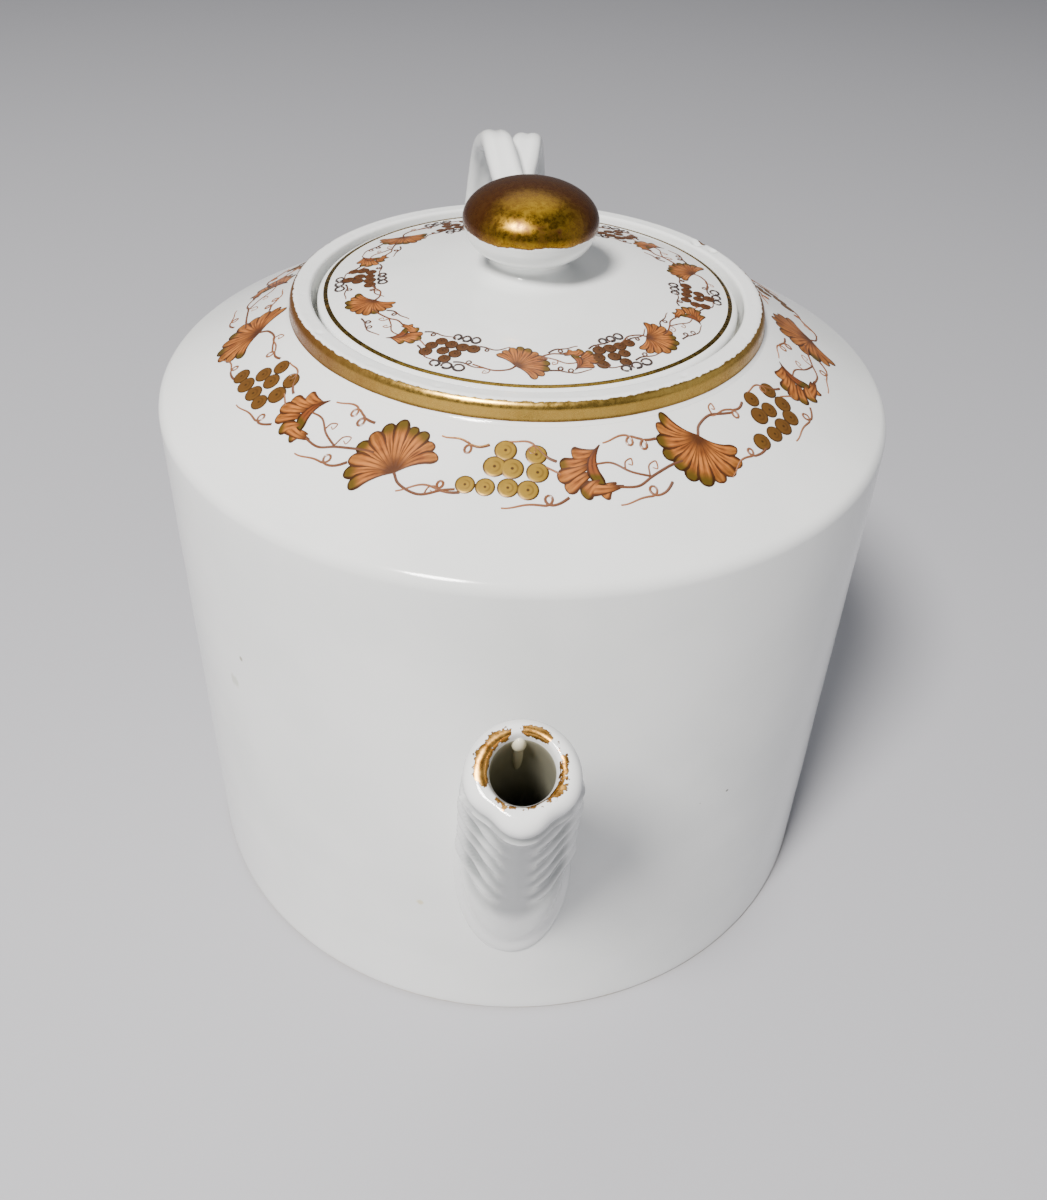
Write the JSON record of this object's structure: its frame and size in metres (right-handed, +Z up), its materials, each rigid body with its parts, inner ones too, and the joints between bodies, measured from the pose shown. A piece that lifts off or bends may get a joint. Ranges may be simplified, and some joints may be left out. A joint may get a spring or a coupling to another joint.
{
  "type": "teapot",
  "caption": "Cylindrical white porcelain teapot with a sloping shoulder, a straight spout, an entwined strap handle and a lift-off lid with a flattened gilt knob.",
  "frame": {"origin": "centre of the flat unglazed base, at the surface the pot stands on", "axes": "+Z up, -Y towards the spout, +Y towards the handle"},
  "size_m": [0.116, 0.1889, 0.1191],
  "materials": {
    "white_glaze": "clear glossy glaze on white hard-paste porcelain",
    "inner_glaze": "thin glaze, slightly greyer and less glossy",
    "biscuit": "unglazed, matt",
    "collar_gilding": "fired gilding over glaze, polished, slightly worn",
    "knob_gilding": "fired gilding over glaze, worn to reddish brown"
  },
  "bodies": {
    "pot": {"body_wall": "white_glaze", "base_plate": "biscuit", "shoulder": "white_glaze", "collar": "collar_gilding", "seat_ring": "inner_glaze", "spout": "white_glaze", "handle_strap_right": "white_glaze", "handle_strap_left": "white_glaze", "leaf_upper_left": "white_glaze", "leaf_upper_right": "white_glaze", "leaf_lower_left": "white_glaze", "leaf_lower_right": "white_glaze"},
    "lid": {"lid_plate": "white_glaze", "lid_flange": "inner_glaze", "knob_stem": "white_glaze", "knob": "knob_gilding"}
  },
  "joints": [
    {"name": "lid_lift", "type": "slide", "parent": "pot", "child": "lid", "axis": [0, 0, 1], "range_m": [0, 0.03]}
  ]
}
